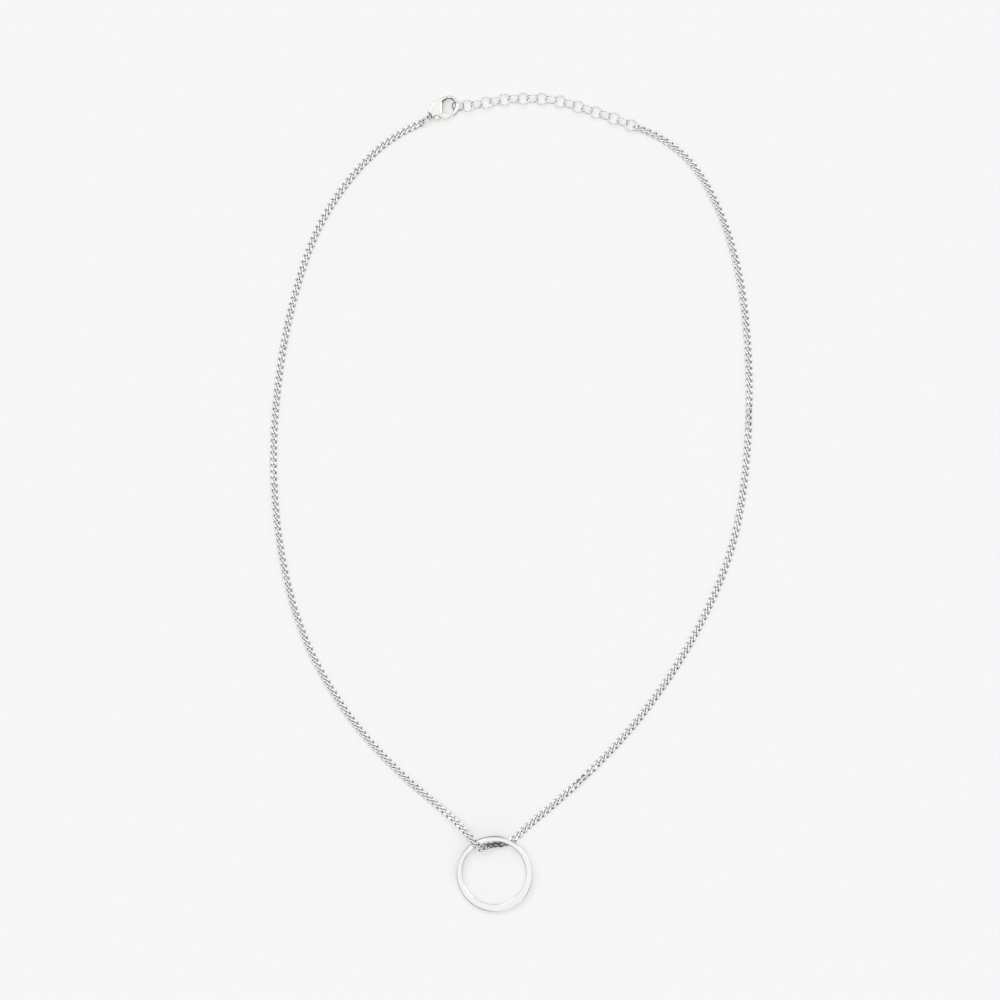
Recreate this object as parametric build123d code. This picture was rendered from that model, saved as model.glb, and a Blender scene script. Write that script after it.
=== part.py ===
from build123d import *
import math
import os

os.makedirs("parts", exist_ok=True)

# A necklace lying closed on a flat surface, seen from above: +X to the right, +Y towards the clasp,
# +Z up, the surface at z = 0 and the origin under the middle of the whole piece.
# All sizes are in millimetres and all angles in degrees.

# Curb chain
chain_width = 1.9
chain_end_gap = 0.3

# Open circle
ring_diameter = 21.2
ring_wall = 1.69
ring_hole_offset = 0.55
ring_height = 2.1
ring_edge_round = 0.34
ring_x = -4.63
ring_y = -104.11
ring_raised_bearing = 63.0
ring_thin_bearing = 108.0
ring_seat_gap = 0.45
ring_over_gap = 0.66

# Extender links
link_diameter = 3.6
link_wire = 0.36
link_play = 0.18
link_face_lean = -10.0
link_edge_lean = 59.0
link_hook_lean = 46.0
link_height_step = 0.3

# Jump rings
clasp_jump_diameter = 2.8
clasp_jump_wire = 0.45
clasp_jump_lean = 60.0
clasp_jump_seat = -0.08
clasp_jump_bearing = 210.0
extender_jump_wire = 0.4

# Clasp, with its places taken from the rivet that the lever turns on
clasp_x = -19.8
clasp_y = 108.07
clasp_thickness = 2.1
clasp_edge_x = 0.53
clasp_foot_y = -1.1
clasp_shoulder_x = -2.2
clasp_shoulder_y = 3.5
clasp_shoulder_round = 1.6
clasp_edge_round = 0.5
window_arch_share = 0.33
arch_round = 0.3
claw_top_share = 0.7
blade_foot_round = 0.45
claw_radius = 3.05
claw_x = 2.35
claw_y = 2.45
claw_width = 1.3
claw_thickness = 1.0
claw_tip_x = 3.1
clasp_eye_x = -3.3
clasp_eye_y = -0.7
clasp_eye_diameter = 2.0
clasp_eye_hole = 1.2
clasp_eye_thickness = 0.6
clasp_eye_round = 0.15
thumb_notch_x = -1.12
thumb_notch_y = -1.15
thumb_notch_radius = 0.95

# Lever and rivet
lever_thickness = 1.05
lever_side_gap = 0.12
lever_hub_radius = 0.72
lever_top_y = 0.62
lever_belly_x = 1.9
lever_belly_y = -0.98
lever_tip_width = 0.85
lever_tip_gap = 0.2
lever_turn = 22.0
lever_knob_x = -1.1
lever_knob_y = -0.75
lever_knob_radius = 0.5
lever_edge_round = 0.15
rivet_diameter = 0.6
rivet_play = 0.05
rivet_seat_gap = 0.02

# Places and sizes that follow
edge_share = 0.45  # most of a wall that one rounded edge may take
ring_hole = ring_diameter - 2 * ring_wall
chain_lying = chain_width / 2
clasp_middle = clasp_thickness / 2
link_radius = (link_diameter - link_wire) / 2
link_pitch = link_diameter - 2 * link_wire - link_play
link_edge_height = link_radius * math.sin(math.radians(link_edge_lean)) + link_wire / 2
link_face_height = link_edge_height - link_height_step
link_hook_height = link_radius * math.sin(math.radians(link_hook_lean)) + link_wire / 2


def bearing(angle):
    return Vector(math.cos(math.radians(angle)), math.sin(math.radians(angle)), 0)


def save(shape, name):
    shape.label = name
    export_step(shape, "parts/" + name + ".step")


# Open circle: a flat band with its hole off centre, resting on the chain that passes under its raised side
ring_radius = ring_diameter / 2
raised = bearing(ring_raised_bearing)
thin_turn = math.radians(ring_thin_bearing - ring_raised_bearing)
raised_reach = ring_radius + ring_hole / 2 + ring_hole_offset * math.cos(thin_turn)
ring_tilt = math.atan((chain_width + ring_seat_gap) / raised_reach)
ring_axis = Vector(0, 0, 1) * math.cos(ring_tilt) - raised * math.sin(ring_tilt)
ring_slope = raised * math.cos(ring_tilt) + Vector(0, 0, 1) * math.sin(ring_tilt)
ring_middle = ring_radius * math.sin(ring_tilt) + ring_height / 2 * math.cos(ring_tilt)
ring_base = Vector(ring_x, ring_y, ring_middle) - ring_axis * (ring_height / 2)


def pendant_ring():
    hole_x = ring_hole_offset * math.cos(thin_turn)
    hole_y = ring_hole_offset * math.sin(thin_turn)
    band = Circle(ring_radius) - Pos(hole_x, hole_y) * Circle(ring_hole / 2)
    solid = extrude(band, ring_height)
    thin_wall = ring_wall - ring_hole_offset
    solid = fillet(solid.edges(), min(ring_edge_round, edge_share * thin_wall))
    return Plane(origin=ring_base, x_dir=ring_slope, z_dir=ring_axis) * solid


def height_over_ring(x, y):
    along = (Vector(x, y, 0) - Vector(ring_base.X, ring_base.Y, 0)).dot(raised)
    top = ring_base.Z + along * math.tan(ring_tilt) + ring_height / math.cos(ring_tilt)
    return top + ring_over_gap + chain_width / 2


# Wire rings: each plane holds a level line and leans about it
def wire_ring(outer, wire, middle, level, lean):
    upright = Vector(0, 0, 1).rotate(Axis((0, 0, 0), level), lean)
    seat = Plane(origin=middle, x_dir=level, z_dir=upright)
    return seat * Torus((outer - wire) / 2, wire / 2)


# Extender: places along its line, from the link that hangs in the claw to the curb chain
extender_route = [
    (-14.9, 110.55),
    (-12.3, 110.6),
    (-7.1, 111.42),
    (-1.8, 112.32),
    (5.2, 112.62),
    (11.7, 112.22),
    (18.4, 110.42),
    (26.0, 108.02),
    (33.5, 105.12),
]

def extender_links():
    line = Spline(*[(x, y, 0) for x, y in extender_route])
    count = math.ceil(line.length / link_pitch)
    step = line.length / count
    rings = []
    for place in range(count + 1):
        spot = line.position_at(place * step, position_mode=PositionMode.LENGTH)
        level = line.tangent_at(place * step, position_mode=PositionMode.LENGTH)
        face_on = place % 2 == 1
        height = link_face_height if face_on else link_edge_height
        lean = link_face_lean if face_on else link_edge_lean
        if place == 0:
            height = link_hook_height
            lean = link_hook_lean
        middle = Vector(spot.X, spot.Y, height)
        wire = extender_jump_wire if place == count else link_wire
        rings.append((wire_ring(link_diameter, wire, middle, level, lean), middle, level))
    return rings


# Clasp body: a blade with a round eye at its tail and a claw that curls round an open window.
# Each row of the claw is a bearing from its centre, with shares of the claw's width and thickness.
claw_sections = [
    (170, 0.9, 1.95),
    (145, 0.85, 1.8),
    (115, 0.79, 1.5),
    (85, 0.75, 1.22),
    (40, 0.88, 1.05),
    (0, 1.0, 1.0),
    (-35, 1.05, 0.96),
    (-58, 0.8, 0.88),
    (-71, 0.42, 0.7),
]


def claw():
    faces = []
    for angle, width_share, thickness_share in claw_sections:
        width = claw_width * width_share
        outward = bearing(angle)
        middle = Vector(claw_x, claw_y, 0) + outward * (claw_radius - width / 2)
        seat = Plane(origin=middle, x_dir=outward, z_dir=bearing(angle - 90))
        faces.append(seat * Ellipse(width / 2, claw_thickness * thickness_share / 2))
    return loft(faces)


# Where a straight edge from a point touches a circle: side is 1 for its left, -1 for its right
def touching(point, middle, radius, side):
    way = middle - point
    aside = math.degrees(math.asin(radius / way.length))
    reach = math.sqrt(way.length ** 2 - radius ** 2)
    return point + way.normalized().rotate(Axis.Z, side * aside) * reach


def clasp_blade():
    shoulder = Vector(clasp_shoulder_x, clasp_shoulder_y)
    eye_middle = Vector(clasp_eye_x, clasp_eye_y)
    claw_middle = Vector(claw_x, claw_y)
    eye_radius = clasp_eye_diameter / 2
    tangent = touching(shoulder, eye_middle, eye_radius, -1)
    tail = tangent + (shoulder - tangent).normalized() * eye_radius
    foot = Vector(clasp_edge_x, clasp_foot_y)
    arch = Vector(clasp_edge_x, claw_y + window_arch_share * claw_radius)
    top = touching(shoulder, claw_middle, claw_radius, 1)
    inner_top = top + (claw_middle - top).normalized() * (claw_width * claw_top_share)
    under = Vector(clasp_eye_x + eye_radius, clasp_foot_y)
    side = Vector(clasp_eye_x + clasp_eye_hole / 2, clasp_eye_y + clasp_eye_hole / 2)
    plan = make_face(Polyline(foot, arch, inner_top, top, shoulder, tail, side, under, close=True))
    for corner, radius in ((arch, arch_round), (shoulder, clasp_shoulder_round), (foot, blade_foot_round)):
        plan = fillet(plan.vertices().sort_by_distance(corner)[0], radius)
    blade = extrude(plan, clasp_thickness / 2, both=True)
    flat = blade.faces().filter_by(Axis.Z)
    return fillet(flat.edges(), clasp_edge_round)


def clasp_body():
    through = 3 * clasp_thickness
    eye_hole = Cylinder(clasp_eye_hole / 2, through)
    eye = Cylinder(clasp_eye_diameter / 2, clasp_eye_thickness) - eye_hole
    eye = fillet(eye.edges().filter_by(GeomType.CIRCLE), clasp_eye_round)
    eye_seat = Pos(clasp_eye_x, clasp_eye_y)
    body = clasp_blade() + claw() - eye_seat * eye_hole + eye_seat * eye
    notch = Pos(thumb_notch_x, thumb_notch_y) * Cylinder(thumb_notch_radius, through)
    rivet_hole = Cylinder(rivet_diameter / 2 + rivet_seat_gap, through)
    slot_left = lever_knob_x - lever_knob_radius - lever_side_gap
    slot_top = lever_top_y / math.cos(math.radians(lever_turn))
    slot_top = slot_top + clasp_edge_x * math.tan(math.radians(lever_turn)) + lever_side_gap
    slot_wide = clasp_edge_x + lever_side_gap - slot_left
    slot_deep = slot_top - 2 * clasp_foot_y
    slot = Box(slot_wide, slot_deep, lever_thickness + 2 * lever_side_gap)
    slot = Pos(slot_left + slot_wide / 2, slot_top - slot_deep / 2) * slot
    return body - notch - rivet_hole - slot


# Lever: a hub on the rivet, a gate across the mouth of the claw and a knob in the thumb notch
def clasp_lever():
    gate = make_face(
        Polyline(
            (0, lever_top_y),
            (claw_tip_x - lever_tip_gap, lever_tip_width / 2),
            (claw_tip_x - lever_tip_gap, -lever_tip_width / 2),
            (lever_belly_x, lever_belly_y),
            (0, lever_belly_y),
            close=True,
        )
    )
    gate = extrude(gate, lever_thickness / 2, both=True)
    gate = fillet(gate.edges(), lever_edge_round)
    hub = Circle(lever_hub_radius)
    spot = Circle(lever_knob_radius)
    arm = make_hull([hub.edge(), (Pos(lever_knob_x, lever_knob_y) * spot).edge()])
    arm = extrude(arm, lever_thickness / 2, both=True)
    lever = gate + arm
    return lever - Cylinder(rivet_diameter / 2 + rivet_play, 2 * clasp_thickness)


def clasp_pin():
    return Cylinder(rivet_diameter / 2, clasp_thickness)


# Jump ring between the clasp's eye and the curb chain
clasp_seat = Pos(clasp_x, clasp_y, clasp_middle)
eye_spot = Vector(clasp_x + clasp_eye_x, clasp_y + clasp_eye_y, 0)
jump_radius = (clasp_jump_diameter - clasp_jump_wire) / 2
jump_height = jump_radius * math.sin(math.radians(clasp_jump_lean)) + clasp_jump_wire / 2
jump_way = bearing(clasp_jump_bearing)
jump_aside = (jump_height - clasp_middle) / math.tan(math.radians(clasp_jump_lean))
jump_middle = eye_spot + jump_way * (jump_radius + clasp_jump_seat) + Vector(0, 0, jump_height)
jump_middle = jump_middle + bearing(clasp_jump_bearing + 90) * jump_aside


def clasp_jump_ring():
    return wire_ring(clasp_jump_diameter, clasp_jump_wire, jump_middle, jump_way, clasp_jump_lean)


# Curb chain: its two ends follow the jump rings, and the points between were chosen to follow its lie.
# Each row is x, y and the share of the rise over the ring.
chain_route = [
    (-30.0, 103.82, 0),
    (-37.6, 98.62, 0),
    (-46.3, 89.32, 0),
    (-54.8, 76.02, 0),
    (-61.1, 57.32, 0),
    (-65.3, 35.72, 0),
    (-67.0, 11.82, 0),
    (-65.2, -13.38, 0),
    (-58.7, -38.58, 0),
    (-45.6, -60.98, 0),
    (-30.3, -77.18, 0),
    (-20.2, -85.78, 0),
    (-13.6, -91.98, 1),
    (-8.5, -96.58, 1),
    (-2.8, -96.18, 0),
    (5.2, -90.28, 0),
    (15.3, -81.98, 0),
    (33.0, -64.88, 0),
    (49.5, -41.88, 0),
    (62.2, -14.48, 0),
    (66.4, 13.02, 0),
    (66.7, 42.42, 0),
    (63.2, 69.22, 0),
    (53.7, 91.92, 0),
    (42.2, 102.32, 0),
]
chain_over_x = -10.9
chain_over_y = -94.38
bend_share = 0.45


def chain_points(extender_end):
    rise = height_over_ring(chain_over_x, chain_over_y) - chain_lying
    middle = [Vector(x, y, chain_lying + share * rise) for x, y, share in chain_route]
    lead = clasp_jump_diameter / 2 + chain_end_gap
    start = Vector(jump_middle.X, jump_middle.Y, chain_lying)
    start = start + (middle[0] - start).normalized() * lead
    lead = link_diameter / 2 + chain_end_gap
    end = Vector(extender_end.X, extender_end.Y, chain_lying)
    end = end + (middle[-1] - end).normalized() * lead
    return [start] + middle + [end]


def curb_chain(extender_end):
    points = chain_points(extender_end)
    radii = []
    for before, corner, after in zip(points, points[1:], points[2:]):
        turn = math.radians((corner - before).get_angle(after - corner))
        shorter = min((corner - before).length, (after - corner).length)
        radii.append(bend_share * shorter / math.tan(turn / 2))
    path = FilletPolyline(*points, radius=radii)
    section = Plane(origin=path @ 0, z_dir=path % 0) * Circle(chain_width / 2)
    tube = sweep(section, path=path)
    ideal = math.pi * (chain_width / 2) ** 2 * path.length
    print("chain radii", [round(radius, 1) for radius in radii])
    print("chain runs", [round((b - a).length, 1) for a, b in zip(points, points[1:])])
    print("chain length", round(path.length, 1), "volume against section by length", tube.volume / ideal)
    return tube


rings = extender_links()
extender_jump, extender_end, extender_way = rings.pop()
links = [ring for ring, middle, level in reversed(rings)]

save(pendant_ring(), "pendant_ring")
save(curb_chain(extender_end), "curb_chain")
save(clasp_seat * clasp_body(), "clasp_body")
save(clasp_seat * clasp_lever(), "clasp_lever")
save(clasp_seat * clasp_pin(), "clasp_pin")
save(clasp_jump_ring(), "clasp_jump_ring")
save(extender_jump, "extender_jump_ring")
for number, link in enumerate(links, start=1):
    save(link, f"extender_link_{number:02d}")
print("extender links", len(links))
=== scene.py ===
import bisect
import math
import bmesh
import bpy
from mathutils import Matrix, Vector


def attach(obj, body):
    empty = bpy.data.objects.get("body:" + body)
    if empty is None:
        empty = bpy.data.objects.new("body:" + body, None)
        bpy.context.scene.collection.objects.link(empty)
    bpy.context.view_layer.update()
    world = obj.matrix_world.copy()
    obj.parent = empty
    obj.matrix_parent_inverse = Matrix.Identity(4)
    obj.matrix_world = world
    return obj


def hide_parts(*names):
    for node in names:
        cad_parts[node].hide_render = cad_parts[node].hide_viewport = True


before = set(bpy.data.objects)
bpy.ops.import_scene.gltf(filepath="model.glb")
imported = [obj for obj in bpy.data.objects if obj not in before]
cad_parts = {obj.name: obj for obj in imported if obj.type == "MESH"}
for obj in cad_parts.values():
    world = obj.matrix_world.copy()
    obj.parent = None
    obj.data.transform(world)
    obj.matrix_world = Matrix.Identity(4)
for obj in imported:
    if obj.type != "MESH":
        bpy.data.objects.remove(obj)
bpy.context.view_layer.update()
print("frame loaded")

mm = 0.001  # lengths in the dictionaries are in millimetres


def addObject(name, data):
    made = bpy.data.objects.new(name, data)
    bpy.context.scene.collection.objects.link(made)
    return made


def clamp(value):
    return min(1.0, max(0.0, value))


# the camera looks straight down from above the photograph's middle
camera = {"x": -3.16, "y": 0.38, "height": 950.0, "widthSeen": 280.0, "sensor": 36.0,
          "near": 10.0, "far": 20000.0}

cameraData = bpy.data.cameras.new("photoCamera")
cameraData.sensor_width = camera["sensor"]
cameraData.lens = camera["sensor"] * camera["height"] / camera["widthSeen"]
cameraData.clip_start = camera["near"] * mm
cameraData.clip_end = camera["far"] * mm
cameraObject = addObject("photoCamera", cameraData)
cameraObject.location = (camera["x"] * mm, camera["y"] * mm, camera["height"] * mm)
bpy.context.scene.camera = cameraObject
bpy.context.scene.view_settings.view_transform = "Standard"
print("camera set")


# small helpers for node trees
def addNode(tree, kind, x=0, y=0, **values):
    node = tree.nodes.new(kind)
    node.location = (x, y)
    for name, value in values.items():
        setattr(node, name, value)
    return node


def newGroup(name, inputs, outputs):
    group = bpy.data.node_groups.new(name, "ShaderNodeTree")
    for label, kind, default in inputs:
        socket = group.interface.new_socket(name=label, in_out="INPUT", socket_type=kind)
        socket.default_value = default
    for label, kind in outputs:
        group.interface.new_socket(name=label, in_out="OUTPUT", socket_type=kind)
    return group


def placeGroup(tree, group, x, y, values):
    node = addNode(tree, "ShaderNodeGroup", x, y, node_tree=group)
    for label, value in values.items():
        node.inputs[label].default_value = value
    return node


# handling marks on polished metal: soft tone patches, uneven polish and hair scratches
handling = {"patchDetail": 3.0, "patchFrom": 0.42, "patchTo": 0.72, "scratchDetail": 2.0,
            "scratchTurn": (0.3, 0.2, 0.6), "scratchStretch": (1.0, 0.08, 1.0), "scratchLift": 0.02}


def makePolishGroup():
    group = newGroup(
        "handledPolish",
        [
            ("Tone", "NodeSocketColor", (0.9, 0.9, 0.89, 1)),
            ("Warm Tone", "NodeSocketColor", (0.86, 0.84, 0.81, 1)),
            ("Patch Scale", "NodeSocketFloat", 300.0),
            ("Polish", "NodeSocketFloat", 0.08),
            ("Unevenness", "NodeSocketFloat", 0.06),
            ("Scratch Scale", "NodeSocketFloat", 2600.0),
            ("Scratch Depth", "NodeSocketFloat", 0.05),
        ],
        [
            ("Color", "NodeSocketColor"),
            ("Roughness", "NodeSocketFloat"),
            ("Normal", "NodeSocketVector"),
        ],
    )
    link = group.links.new
    given = addNode(group, "NodeGroupInput", -1000, 0)
    out = addNode(group, "NodeGroupOutput", 700, 0)
    place = addNode(group, "ShaderNodeTexCoord", -1000, -300)

    patches = addNode(group, "ShaderNodeTexNoise", -700, 200)
    patches.inputs["Detail"].default_value = handling["patchDetail"]
    link(place.outputs["Object"], patches.inputs["Vector"])
    link(given.outputs["Patch Scale"], patches.inputs["Scale"])
    spread = addNode(group, "ShaderNodeMapRange", -400, 200)
    spread.inputs["From Min"].default_value = handling["patchFrom"]
    spread.inputs["From Max"].default_value = handling["patchTo"]
    link(patches.outputs["Fac"], spread.inputs["Value"])

    tone = addNode(group, "ShaderNodeMix", -100, 200, data_type="RGBA")
    link(spread.outputs["Result"], tone.inputs["Factor"])
    link(given.outputs["Tone"], tone.inputs[6])
    link(given.outputs["Warm Tone"], tone.inputs[7])
    link(tone.outputs[2], out.inputs["Color"])

    uneven = addNode(group, "ShaderNodeMath", -100, -40, operation="MULTIPLY_ADD")
    link(spread.outputs["Result"], uneven.inputs[0])
    link(given.outputs["Unevenness"], uneven.inputs[1])
    link(given.outputs["Polish"], uneven.inputs[2])
    link(uneven.outputs["Value"], out.inputs["Roughness"])

    stretch = addNode(group, "ShaderNodeMapping", -800, -300)
    stretch.inputs["Rotation"].default_value = handling["scratchTurn"]
    stretch.inputs["Scale"].default_value = handling["scratchStretch"]
    link(place.outputs["Object"], stretch.inputs["Vector"])
    scratches = addNode(group, "ShaderNodeTexNoise", -550, -300)
    scratches.inputs["Detail"].default_value = handling["scratchDetail"]
    link(stretch.outputs["Vector"], scratches.inputs["Vector"])
    link(given.outputs["Scratch Scale"], scratches.inputs["Scale"])
    bump = addNode(group, "ShaderNodeBump", -100, -300)
    bump.inputs["Distance"].default_value = handling["scratchLift"] * mm
    link(scratches.outputs["Fac"], bump.inputs["Height"])
    link(given.outputs["Scratch Depth"], bump.inputs["Strength"])
    link(bump.outputs["Normal"], out.inputs["Normal"])
    return group


# a share of painted shade, a dark tone, over the metal's own tone
def makeShadeGroup():
    group = newGroup(
        "paintedShadeTone",
        [
            ("Tone", "NodeSocketColor", (0.9, 0.9, 0.89, 1)),
            ("Shade Tone", "NodeSocketColor", (0.025, 0.024, 0.022, 1)),
            ("Share", "NodeSocketFloat", 0.0),
            ("Strength", "NodeSocketFloat", 1.0),
        ],
        [("Color", "NodeSocketColor")],
    )
    link = group.links.new
    given = addNode(group, "NodeGroupInput", -500, 0)
    out = addNode(group, "NodeGroupOutput", 300, 0)
    share = addNode(group, "ShaderNodeMath", -300, 150, operation="MULTIPLY")
    link(given.outputs["Share"], share.inputs[0])
    link(given.outputs["Strength"], share.inputs[1])
    darken = addNode(group, "ShaderNodeMix", -50, 0, data_type="RGBA")
    link(share.outputs["Value"], darken.inputs["Factor"])
    link(given.outputs["Tone"], darken.inputs[6])
    link(given.outputs["Shade Tone"], darken.inputs[7])
    link(darken.outputs[2], out.inputs["Color"])
    return group


polishGroup = makePolishGroup()
shadeGroup = makeShadeGroup()


# silver with painted shade where shareOf says, and polished elsewhere
def makeSilver(name, finish, shadeLook, shareOf):
    material = bpy.data.materials.new(name)
    material.use_nodes = True
    tree = material.node_tree
    tree.nodes.clear()
    link = tree.links.new
    out = addNode(tree, "ShaderNodeOutputMaterial", 600, 0)
    shader = addNode(tree, "ShaderNodeBsdfPrincipled", 300, 0)
    shader.inputs["Metallic"].default_value = 1.0
    polish = placeGroup(tree, polishGroup, -250, 0, finish)
    dark = placeGroup(tree, shadeGroup, 50, 250, shadeLook)
    link(polish.outputs["Color"], dark.inputs["Tone"])
    link(shareOf(tree), dark.inputs["Share"])
    link(dark.outputs["Color"], shader.inputs["Base Color"])
    link(polish.outputs["Roughness"], shader.inputs["Roughness"])
    link(polish.outputs["Normal"], shader.inputs["Normal"])
    link(shader.outputs["BSDF"], out.inputs["Surface"])
    return material


# the open circle: a painted shadow, a dark colour that mirrors nothing, along the foot of its outer
# wall
ringFinish = {"Tone": (0.92, 0.913, 0.9, 1), "Warm Tone": (0.89, 0.873, 0.85, 1),
              "Patch Scale": 120.0, "Polish": 0.07, "Unevenness": 0.04, "Scratch Depth": 0.03}
ringFootShadeLook = {"Shade Tone": (0.02, 0.019, 0.018, 1), "Strength": 1.0}


def footShadeShare(tree):
    footShade = addNode(tree, "ShaderNodeAttribute", -400, 300, attribute_name="footShade")
    return footShade.outputs["Fac"]


def makeRingSilver():
    silver = makeSilver("ringSilver", ringFinish, ringFootShadeLook, footShadeShare)
    tree = silver.node_tree
    shader = next(node for node in tree.nodes if node.type == "BSDF_PRINCIPLED")
    shader.inputs["Specular IOR Level"].default_value = 0.0
    # the painted shadow at the foot mirrors nothing
    outsideFootShade = addNode(tree, "ShaderNodeMath", 50, 50, operation="SUBTRACT")
    outsideFootShade.inputs[0].default_value = 1.0
    tree.links.new(footShadeShare(tree), outsideFootShade.inputs[1])
    tree.links.new(outsideFootShade.outputs["Value"], shader.inputs["Metallic"])
    return silver


# the curb chain and the clasp: painted shade in their hollows
chainFinish = {"Tone": (0.98, 0.975, 0.965, 1), "Warm Tone": (0.94, 0.925, 0.905, 1),
               "Patch Scale": 500.0, "Polish": 0.06, "Unevenness": 0.05, "Scratch Depth": 0.04}
claspFinish = {"Tone": (0.92, 0.91, 0.89, 1), "Warm Tone": (0.88, 0.86, 0.82, 1),
               "Patch Scale": 350.0, "Polish": 0.14, "Unevenness": 0.08, "Scratch Depth": 0.06}
hollowShadeLook = {"Shade Tone": (0.025, 0.024, 0.022, 1), "Strength": 1.0}


def hollowShadeShare(tree):
    paintedShade = addNode(tree, "ShaderNodeAttribute", -400, 300, attribute_name="paintedShade")
    return paintedShade.outputs["Fac"]


# the extender's links and the jump rings: painted shade where one lies close against another
linkFinish = {"Tone": (0.91, 0.905, 0.895, 1), "Warm Tone": (0.86, 0.85, 0.83, 1),
              "Patch Scale": 500.0, "Polish": 0.06, "Unevenness": 0.05, "Scratch Depth": 0.04}
crossingShadeLook = {"Shade Tone": (0.05, 0.048, 0.045, 1), "Strength": 1.0}
crossing = {"reach": 0.6, "clearAt": 0.92, "darkAt": 0.6, "samples": 8}


def crossingShadeShare(tree):
    # the ambient occlusion of nearby metal sets the share of painted shade
    openness = addNode(
        tree, "ShaderNodeAmbientOcclusion", -450, 300, samples=crossing["samples"]
    )
    openness.inputs["Distance"].default_value = crossing["reach"] * mm
    share = addNode(tree, "ShaderNodeMapRange", -200, 300)
    share.inputs["From Min"].default_value = crossing["clearAt"]
    share.inputs["From Max"].default_value = crossing["darkAt"]
    tree.links.new(openness.outputs["AO"], share.inputs["Value"])
    return share.outputs["Result"]


ringSilver = makeRingSilver()
chainSilver = makeSilver("chainSilver", chainFinish, hollowShadeLook, hollowShadeShare)
claspSilver = makeSilver("claspSilver", claspFinish, hollowShadeLook, hollowShadeShare)
linkSilver = makeSilver("linkSilver", linkFinish, crossingShadeLook, crossingShadeShare)


def silverFor(node):
    if node == "pendant_ring":
        return ringSilver
    if node in ("clasp_body", "clasp_lever", "clasp_pin"):
        return claspSilver
    return linkSilver


for node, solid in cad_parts.items():
    if node == "curb_chain":
        continue
    solid.data.materials.clear()
    solid.data.materials.append(silverFor(node))
print("metal finishes on the solids")


# the faces of a closed ring of cross sections, whose points come one section after another
def ringFaces(sections, sides):
    faces = []
    for section in range(sections):
        here, ahead = section * sides, (section + 1) % sections * sides
        for turn in range(sides):
            beside = (turn + 1) % sides
            faces.append((here + turn, here + beside, ahead + beside, ahead + turn))
    return faces


# a value from 0 to 1 for each point of a mesh, which its material reads by name
def storeShares(mesh, name, shares):
    mesh.attributes.new(name, "FLOAT", "POINT").data.foreach_set("value", shares)


# the middle line of the curb chain: x, y and height
chainLine = [
    (-25.20, 105.90, 0.95), (-30.0, 103.82, 0.95), (-37.6, 98.62, 0.95), (-46.3, 89.32, 0.95),
    (-54.8, 76.02, 0.95), (-61.1, 57.32, 0.95), (-65.3, 35.72, 0.95), (-67.0, 11.82, 0.95),
    (-65.2, -13.38, 0.95), (-58.7, -38.58, 0.95), (-45.6, -60.98, 0.95), (-30.3, -77.18, 0.95),
    (-19.9, -85.6, 0.95), (-13.1, -91.3, 5.3), (-9.2, -97.1, 5.3), (-7.1, -96.2, 3.0),
    (-4.6, -96.0, 1.05), (-1.0, -95.8, 0.95), (2.0, -93.4, 0.95), (5.2, -90.28, 0.95),
    (15.3, -81.98, 0.95), (33.0, -64.88, 0.95), (49.5, -41.88, 0.95), (62.2, -14.48, 0.95),
    (66.4, 13.02, 0.95), (66.7, 42.42, 0.95), (63.2, 69.22, 0.95), (53.7, 91.92, 0.95),
    (42.2, 102.32, 0.95), (35.5, 104.53, 0.95),
]

# one curb link: a twisted oval of round wire, with its top and bottom ground flat
curb = {
    "pitch": 1.75, "wire": 0.55, "width": 1.98, "lap": 0.02, "endTwist": -48.0,
    "squareness": 0.85, "flatAt": 0.38, "wireSides": 10, "roundSteps": 32,
    # how far the links run on past the line's two ends
    "startReach": 1.0, "endReach": 1.35,
    # the line's height over what carries the chain, and a flat link's
    "tubeRadius": 0.95, "restHeight": 0.49,
    # how finely the line is read, and how far each way a link looks for its direction
    "lineSteps": 24, "lookAhead": 0.6,
    # painted shade inside the hole of a link and along its two sides: where it starts, and its fade
    "holeShadeFrom": -0.12, "holeFade": 0.4, "rimFrom": 0.86, "rimFade": 0.1, "rimShadeShare": 0.9,
    # every link rocks a little: how many degrees, how fast from link to link, and from where
    "rocking": [(2.5, 2.4, 0.0), (3.0, 0.83, 1.0)],
    # places where the chain lies turned on its line: x, y, how far each way, and the turn
    "turns": [
        (-24.0, 105.4, 6.0, 16.0), (-65.0, 42.9, 5.0, -26.0), (-66.7, 10.2, 6.0, -26.0),
        (-12.5, -93.5, 6.0, 18.0), (-4.2, -95.8, 9.0, -60.0), (20.6, -78.0, 7.0, -50.0),
        (66.8, 25.0, 9.0, 34.0), (36.0, 104.4, 6.0, 27.0),
    ],
    # the painted shadow of the open circle on the run of chain under it: x, y, how far each way,
    # how dark
    "underRingShade": (-4.4, -96.0, 4.2, 0.8),
}


def pointsAlong(line):
    curve = bpy.data.curves.new("chainLine", "CURVE")
    curve.dimensions = "3D"
    curve.resolution_u = curb["lineSteps"]
    spline = curve.splines.new("NURBS")
    spline.points.add(len(line) - 1)
    for point, (x, y, z) in zip(spline.points, line):
        point.co = (x * mm, y * mm, z * mm, 1)
    spline.order_u = 3
    spline.use_endpoint_u = True
    holder = bpy.data.objects.new("chainLine", curve)
    mesh = bpy.data.meshes.new_from_object(holder)
    points = [vertex.co.copy() for vertex in mesh.vertices]
    bpy.data.objects.remove(holder)
    bpy.data.meshes.remove(mesh)
    bpy.data.curves.remove(curve)
    return points


def twistedPoint(halfLong, halfWide, rate, angle):
    power = curb["squareness"]
    x = halfLong * math.copysign(abs(math.cos(angle)) ** power, math.cos(angle))
    y = halfWide * math.copysign(abs(math.sin(angle)) ** power, math.sin(angle))
    twist = rate * x
    return Vector((x, y * math.cos(twist), y * math.sin(twist)))
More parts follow.
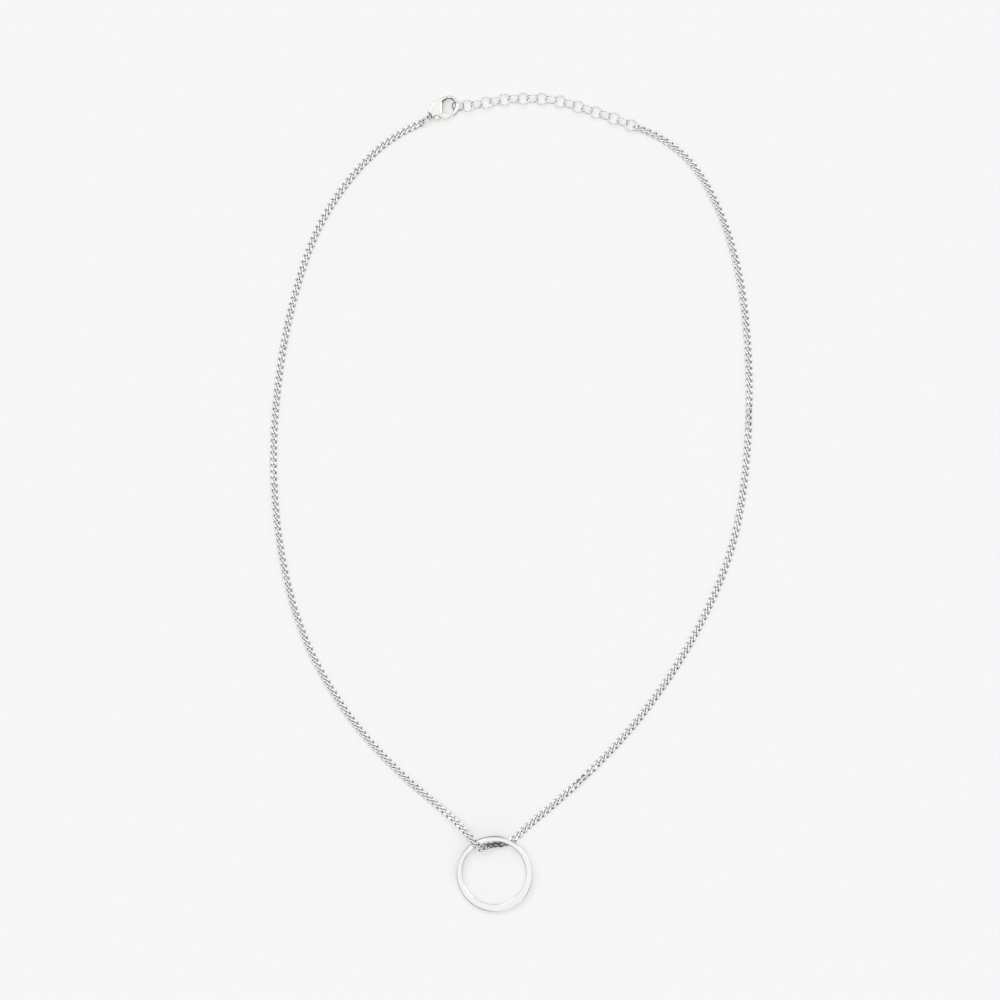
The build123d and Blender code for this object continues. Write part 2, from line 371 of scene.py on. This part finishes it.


# the points of a link, and how much painted shade each one gets
def linkShape():
    wire = curb["wire"] / 2
    halfLong = (curb["pitch"] + curb["wire"]) / 2 + curb["lap"]
    halfWide = curb["width"] / 2 - wire
    rate = math.radians(curb["endTwist"]) / halfLong
    steps = curb["roundSteps"]
    wireLine = []
    for step in range(steps):
        wireLine.append(twistedPoint(halfLong, halfWide, rate, 2 * math.pi * (step + 0.5) / steps))
    places, paintedShade = [], []
    for step, here in enumerate(wireLine):
        ahead = (wireLine[(step + 1) % steps] - wireLine[step - 1]).normalized()
        side = ahead.cross(here.normalized()).normalized()
        outward = side.cross(ahead)
        for turn in range(curb["wireSides"]):
            angle = 2 * math.pi * turn / curb["wireSides"]
            place = here + outward * (wire * math.cos(angle)) + side * (wire * math.sin(angle))
            ground = abs(place.z) >= curb["flatAt"]
            # painted shade in the link's hole and along its sides, none on the ground flats
            hole = clamp((curb["holeShadeFrom"] - math.cos(angle)) / curb["holeFade"])
            rim = clamp((abs(place.y) - curb["rimFrom"]) / curb["rimFade"])
            paintedShade.append(0.0 if ground else max(hole, rim * curb["rimShadeShare"]))
            place.z = max(-curb["flatAt"], min(curb["flatAt"], place.z))
            places.append(place)
    return places, paintedShade


def makeCurbChain():
    points = pointsAlong(chainLine)
    run = [0.0]
    for before, after in zip(points, points[1:]):
        run.append(run[-1] + (after - before).length)
    length = run[-1] / mm
    first = -curb["startReach"] + (curb["pitch"] + curb["wire"]) / 2
    last = length + curb["endReach"] - (curb["pitch"] + curb["wire"]) / 2
    count = round((last - first) / curb["pitch"]) + 1
    pitch = (last - first) / (count - 1)
    print("curb links", count, "pitch", round(pitch, 3), "line", round(length, 1))

    # the point at a distance along the line, which goes on straight past its ends
    def onLine(distance):
        distance = distance * mm
        if distance <= 0:
            way = (points[1] - points[0]).normalized()
            return points[0] + way * distance
        if distance >= run[-1]:
            way = (points[-1] - points[-2]).normalized()
            return points[-1] + way * (distance - run[-1])
        low = bisect.bisect_right(run, distance) - 1
        share = (distance - run[low]) / (run[low + 1] - run[low])
        return points[low].lerp(points[low + 1], share)

    # how far along the line it comes nearest to a place on the table
    def distanceTo(x, y):
        gaps = [(point.x - x * mm) ** 2 + (point.y - y * mm) ** 2 for point in points]
        return run[gaps.index(min(gaps))] / mm

    turns = [(distanceTo(x, y), reach, turn) for x, y, reach, turn in curb["turns"]]
    underRingShadeX, underRingShadeY, underRingShadeReach, underRingShadeShare = curb["underRingShade"]
    underRingShade = distanceTo(underRingShadeX, underRingShadeY)
    shape, paintedShade = linkShape()
    faces = ringFaces(curb["roundSteps"], curb["wireSides"])
    # the ground faces stay flat, and the wire is smooth
    smooth = [any(abs(shape[corner].z) < curb["flatAt"] for corner in face) for face in faces]
    allPlaces, allFaces, allPaintedShade = [], [], []
    for number in range(count):
        distance = first + number * pitch
        here = onLine(distance)
        before, after = onLine(distance - curb["lookAhead"]), onLine(distance + curb["lookAhead"])
        ahead = (after - before).normalized()
        side = Vector((0, 0, 1)).cross(ahead).normalized()
        up = ahead.cross(side)
        roll = 0.0
        for degrees, pace, start in curb["rocking"]:
            roll += math.radians(degrees) * math.sin(number * pace + start)
        for middle, reach, turn in turns:
            near = max(0.0, 1 - abs(distance - middle) / reach)
            roll += math.radians(turn) * near * near * (3 - 2 * near)
        # a link lies lower than the tube's middle, and stands higher the more it is turned
        tall, wide = curb["restHeight"], curb["width"] / 2
        rest = tall * abs(math.cos(roll)) + wide * abs(math.sin(roll))
        drop = (curb["tubeRadius"] - min(rest, curb["tubeRadius"])) * mm
        here = here - up * drop
        seat = Matrix((ahead, side, up)).transposed() @ Matrix.Rotation(roll, 3, "X")
        offset = len(allPlaces)
        allPlaces.extend(here + seat @ (place * mm) for place in shape)
        allFaces.extend(tuple(offset + corner for corner in face) for face in faces)
        # the links under the open circle get its painted shadow
        ringShadowShare = underRingShadeShare * clamp(2 - 2 * abs(distance - underRingShade) / underRingShadeReach)
        allPaintedShade.extend(max(ringShadowShare, share) for share in paintedShade)
    mesh = bpy.data.meshes.new("curbLinks")
    mesh.from_pydata([tuple(place) for place in allPlaces], [], allFaces)
    mesh.polygons.foreach_set("use_smooth", smooth * count)
    storeShares(mesh, "paintedShade", allPaintedShade)
    mesh.materials.append(chainSilver)
    piece = addObject("curbLinks", mesh)
    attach(piece, "necklace")
    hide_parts("curb_chain")


makeCurbChain()
print("curb chain made")

# the open circle: a flat band with its hole off centre, leaning with its raised side on the chain
circle = {
    "x": -4.63, "y": -104.11, "diameter": 21.2, "wall": 1.69, "holeOffset": 0.55, "height": 2.1,
    # compass bearings of the raised side and of the thinnest wall
    "raisedBearing": 63.0, "thinBearing": 108.0,
    # what lifts the raised side: the chain under it, and the slack round the chain
    "chainWidth": 1.9, "seatGap": 0.45,
    # rounding of the top and bottom edges, and the most of a narrow wall that one may take
    "edgeRound": 0.3, "footRound": 0.16, "mostRound": 0.48, "steps": 288, "cornerSteps": 9,
    # the painted shadow along the foot of the outer wall: its height, and the bearings between
    # which it is fully dark
    "footShadeUpTo": 0.95, "footShadeFadesAt": 1.08, "footShadeFrom": 68.0, "footShadeTo": 196.0, "footShadeEnds": 12.0,
    "footShadeLeast": 0.25,
}


# the wall's section: x outwards from the hole, and height
def roundedProfile(wide):
    edge = min(circle["edgeRound"], circle["mostRound"] * wide)
    foot = circle["footRound"]
    high = circle["height"] - edge
    corners = [(foot, foot, foot, 180), (wide - foot, foot, foot, 270),
               (wide - edge, high, edge, 0), (edge, high, edge, 90)]
    profile = []
    for x, z, reach, turn in corners:
        # the outer wall gets two more points where the painted shadow at its foot ends
        if turn == 0:
            profile.extend([(wide, circle["footShadeUpTo"]), (wide, circle["footShadeFadesAt"])])
        for step in range(circle["cornerSteps"]):
            angle = math.radians(turn + 90 * step / (circle["cornerSteps"] - 1))
            profile.append((x + reach * math.cos(angle), z + reach * math.sin(angle)))
    return profile


def makeCircle():
    outer = circle["diameter"] / 2
    inner = outer - circle["wall"]
    thinTurn = math.radians(circle["thinBearing"] - circle["raisedBearing"])
    holeX = circle["holeOffset"] * math.cos(thinTurn)
    holeY = circle["holeOffset"] * math.sin(thinTurn)
    raisedTurn = math.radians(circle["raisedBearing"])
    raised = Vector((math.cos(raisedTurn), math.sin(raisedTurn), 0))
    tilt = math.atan((circle["chainWidth"] + circle["seatGap"]) / (outer + inner + holeX))
    up = Vector((0, 0, 1))
    axis = up * math.cos(tilt) - raised * math.sin(tilt)
    slope = raised * math.cos(tilt) + up * math.sin(tilt)
    middle = outer * math.sin(tilt) + circle["height"] / 2 * math.cos(tilt)
    base = Vector((circle["x"], circle["y"], middle)) - axis * (circle["height"] / 2)
    seat = Matrix((slope, axis.cross(slope), axis)).transposed()
    places, footShade = [], []
    for step in range(circle["steps"]):
        angle = 2 * math.pi * step / circle["steps"]
        near = Vector((holeX + inner * math.cos(angle), holeY + inner * math.sin(angle), 0))
        far = Vector((outer * math.cos(angle), outer * math.sin(angle), 0))
        way = (far - near).normalized()
        wide = (far - near).length
        # painted shadow along the foot: full between two bearings, fainter elsewhere, and only low
        # on the outer wall
        bearing = (math.degrees(angle) + circle["raisedBearing"]) % 360
        inside = min(bearing - circle["footShadeFrom"], circle["footShadeTo"] - bearing)
        share = max(circle["footShadeLeast"], clamp(inside / circle["footShadeEnds"]))
        profile = roundedProfile(wide)
        for reach, height in profile:
            places.append(tuple((base + seat @ (near + way * reach + up * height)) * mm))
            inFootShade = reach > wide / 2 and height <= circle["footShadeUpTo"]
            footShade.append(share if inFootShade else 0.0)
    # the sections run the other way round than a link's do
    faces = [(a, d, c, b) for a, b, c, d in ringFaces(circle["steps"], len(profile))]
    mesh = bpy.data.meshes.new("openCircle")
    mesh.from_pydata(places, [], faces)
    mesh.shade_smooth()
    storeShares(mesh, "footShade", footShade)
    mesh.materials.append(ringSilver)
    piece = addObject("openCircle", mesh)
    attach(piece, "necklace")
    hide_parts("pendant_ring")


makeCircle()
print("open circle made")

# the clasp as cast metal: its solid with every edge and joint softened
cast = {
    "grain": 0.05, "softening": 0.5, "passes": 64,
    # hollows whose walls get painted shade: middle x and y, reach, and how far round they face
    "hollows": [(-17.45, 110.2, 2.6, 0.62), (-20.92, 106.92, 1.3, 0.6)], "hollowFade": 0.3,
    # metal that runs on from the blade into the claw
    "shoulder": {"x": -18.71, "y": 112.6, "z": 1.05, "bearing": 31.0,
                 "long": 1.35, "wide": 0.48, "high": 0.93},
}


# the painted shade of a point on the casting: how much it faces the middle of a hollow that it
# borders
def hollowShadeAt(place, normal):
    most = 0.0
    for x, y, reach, facing in cast["hollows"]:
        way = Vector((x * mm - place.x, y * mm - place.y))
        if way.length < reach * mm:
            toward = way.normalized().dot(Vector((normal.x, normal.y)))
            most = max(most, clamp((toward - facing) / cast["hollowFade"]))
    return most


def makeCastClasp():
    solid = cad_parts["clasp_body"]
    shoulder = cast["shoulder"]
    seat = Matrix.Translation((shoulder["x"] * mm, shoulder["y"] * mm, shoulder["z"] * mm))
    seat = seat @ Matrix.Rotation(math.radians(shoulder["bearing"]), 4, "Z")
    seat = seat @ Matrix.Diagonal((shoulder["long"], shoulder["wide"], shoulder["high"], 1))
    wax = bmesh.new()
    wax.from_mesh(solid.data)
    bmesh.ops.create_icosphere(wax, subdivisions=4, radius=mm, matrix=seat)
    pattern = bpy.data.meshes.new("claspPattern")
    wax.to_mesh(pattern)
    wax.free()
    rough = addObject("claspCasting", pattern)
    fine = rough.modifiers.new("fine", "REMESH")
    fine.mode = "VOXEL"
    fine.voxel_size = cast["grain"] * mm
    soft = rough.modifiers.new("soft", "SMOOTH")
    soft.factor = cast["softening"]
    soft.iterations = cast["passes"]
    ready = rough.evaluated_get(bpy.context.evaluated_depsgraph_get())
    mesh = bpy.data.meshes.new_from_object(ready)
    rough.modifiers.clear()
    rough.data = mesh
    mesh.shade_smooth()
    # painted shade on the walls of the clasp's hollows
    storeShares(mesh, "paintedShade", [hollowShadeAt(point.co, point.normal) for point in mesh.vertices])
    mesh.materials.clear()
    mesh.materials.append(claspSilver)
    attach(rough, "necklace")
    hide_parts("clasp_body")
    print("clasp casting", len(mesh.polygons), "faces")


makeCastClasp()

# pale paper on the table, with a little light from under it
table = {"size": 3000.0, "color": (0.9, 0.9, 0.9, 1), "roughness": 0.8, "backlight": 0.3}


def makeTable():
    half = table["size"] / 2 * mm
    corners = [(-half, -half, 0), (half, -half, 0), (half, half, 0), (-half, half, 0)]
    mesh = bpy.data.meshes.new("table")
    mesh.from_pydata(corners, [], [(0, 1, 2, 3)])
    material = bpy.data.materials.new("palePaper")
    material.use_nodes = True
    paper = material.node_tree.nodes["Principled BSDF"]
    paper.inputs["Base Color"].default_value = table["color"]
    paper.inputs["Roughness"].default_value = table["roughness"]
    paper.inputs["Specular IOR Level"].default_value = 0.0
    paper.inputs["Emission Color"].default_value = (1, 1, 1, 1)
    paper.inputs["Emission Strength"].default_value = table["backlight"]
    mesh.materials.append(material)
    addObject("table", mesh)


makeTable()

# what polished metal mirrors: a bright panel overhead, a dark room round it and three small lamps
room = {
    "panel": 1.0, "panelWay": (0.04, 0.3, 1.0), "panelWide": (0.38, 1.0, 1.0), "panelFrom": 0.8,
    "dark": 0.045, "darkUpTo": 0.54,
    "lamps": [(-0.5, 0.5, 0.7), (0.62, 0.25, 0.74), (0.1, -0.68, 0.72)],
    "lampPower": 1.6, "lampEdge": 0.96, "lampCore": 0.98,
}
# the soft light that falls on the table, and what the camera sees beyond it
air = {"soft": 0.42, "behind": 0.9}


def makeRoom():
    world = bpy.data.worlds.new("softRoom")
    bpy.context.scene.world = world
    world.use_nodes = True
    tree = world.node_tree
    tree.nodes.clear()
    link = tree.links.new
    out = addNode(tree, "ShaderNodeOutputWorld", 900, 0)
    glow = addNode(tree, "ShaderNodeBackground", 700, 0)
    glow.inputs["Color"].default_value = (1, 1, 1, 1)
    link(glow.outputs["Background"], out.inputs["Surface"])
    direction = addNode(tree, "ShaderNodeTexCoord", -900, 0)

    # the panel is a long one: it reaches further down to the left and right
    widened = addNode(tree, "ShaderNodeVectorMath", -820, 150, operation="MULTIPLY")
    widened.inputs[1].default_value = room["panelWide"]
    link(direction.outputs["Generated"], widened.inputs[0])
    unit = addNode(tree, "ShaderNodeVectorMath", -660, 150, operation="NORMALIZE")
    link(widened.outputs["Vector"], unit.inputs[0])
    overhead = addNode(tree, "ShaderNodeVectorMath", -500, 0, operation="DOT_PRODUCT")
    overhead.inputs[1].default_value = Vector(room["panelWay"]).normalized()
    link(unit.outputs["Vector"], overhead.inputs[0])
    panel = addNode(tree, "ShaderNodeMapRange", -300, 0, interpolation_type="SMOOTHSTEP")
    panel.inputs["From Min"].default_value = room["darkUpTo"]
    panel.inputs["From Max"].default_value = room["panelFrom"]
    panel.inputs["To Min"].default_value = room["dark"]
    panel.inputs["To Max"].default_value = room["panel"]
    link(overhead.outputs["Value"], panel.inputs["Value"])

    mirrored = panel.outputs["Result"]
    for number, lamp in enumerate(room["lamps"]):
        y = -250 * (number + 1)
        facing = addNode(tree, "ShaderNodeVectorMath", -500, y, operation="DOT_PRODUCT")
        facing.inputs[1].default_value = Vector(lamp).normalized()
        link(direction.outputs["Generated"], facing.inputs[0])
        spot = addNode(tree, "ShaderNodeMapRange", -300, y, interpolation_type="SMOOTHSTEP")
        spot.inputs["From Min"].default_value = room["lampEdge"]
        spot.inputs["From Max"].default_value = room["lampCore"]
        spot.inputs["To Max"].default_value = room["lampPower"]
        link(facing.outputs["Value"], spot.inputs["Value"])
        total = addNode(tree, "ShaderNodeMath", -50, y, operation="ADD")
        link(mirrored, total.inputs[0])
        link(spot.outputs["Result"], total.inputs[1])
        mirrored = total.outputs["Value"]

    # the metal mirrors the room, but what it throws on the table comes from the soft air:
    # the depth is 0 until the light's path has met the paper
    seen = addNode(tree, "ShaderNodeLightPath", -150, 400)
    direct = addNode(tree, "ShaderNodeMath", 50, 200, operation="LESS_THAN")
    direct.inputs[1].default_value = 0.5
    link(seen.outputs["Diffuse Depth"], direct.inputs[0])
    polished = addNode(tree, "ShaderNodeMath", 200, 300, operation="MULTIPLY")
    link(seen.outputs["Is Glossy Ray"], polished.inputs[0])
    link(direct.outputs["Value"], polished.inputs[1])
    inMetal = addNode(tree, "ShaderNodeMix", 350, 0, data_type="FLOAT")
    inMetal.inputs[2].default_value = air["soft"]
    link(polished.outputs["Value"], inMetal.inputs["Factor"])
    link(mirrored, inMetal.inputs[3])
    backdrop = addNode(tree, "ShaderNodeMix", 520, 100, data_type="FLOAT")
    backdrop.inputs[3].default_value = air["behind"]
    link(seen.outputs["Is Camera Ray"], backdrop.inputs["Factor"])
    link(inMetal.outputs[0], backdrop.inputs[2])
    link(backdrop.outputs[0], glow.inputs["Strength"])


makeRoom()

# one large soft lamp overhead, which the metal doesn't mirror
keyLight = {"from": (-0.1, 0.25, 1.0), "spread": 55.0, "power": 0.91}

keyData = bpy.data.lights.new("softKey", "SUN")
keyData.angle = math.radians(keyLight["spread"])
keyData.energy = keyLight["power"]
keyObject = addObject("softKey", keyData)
keyObject.location = keyLight["from"]
keyObject.rotation_euler = (-Vector(keyLight["from"])).to_track_quat("-Z", "Y").to_euler()
keyObject.visible_glossy = False
print("table and light set")
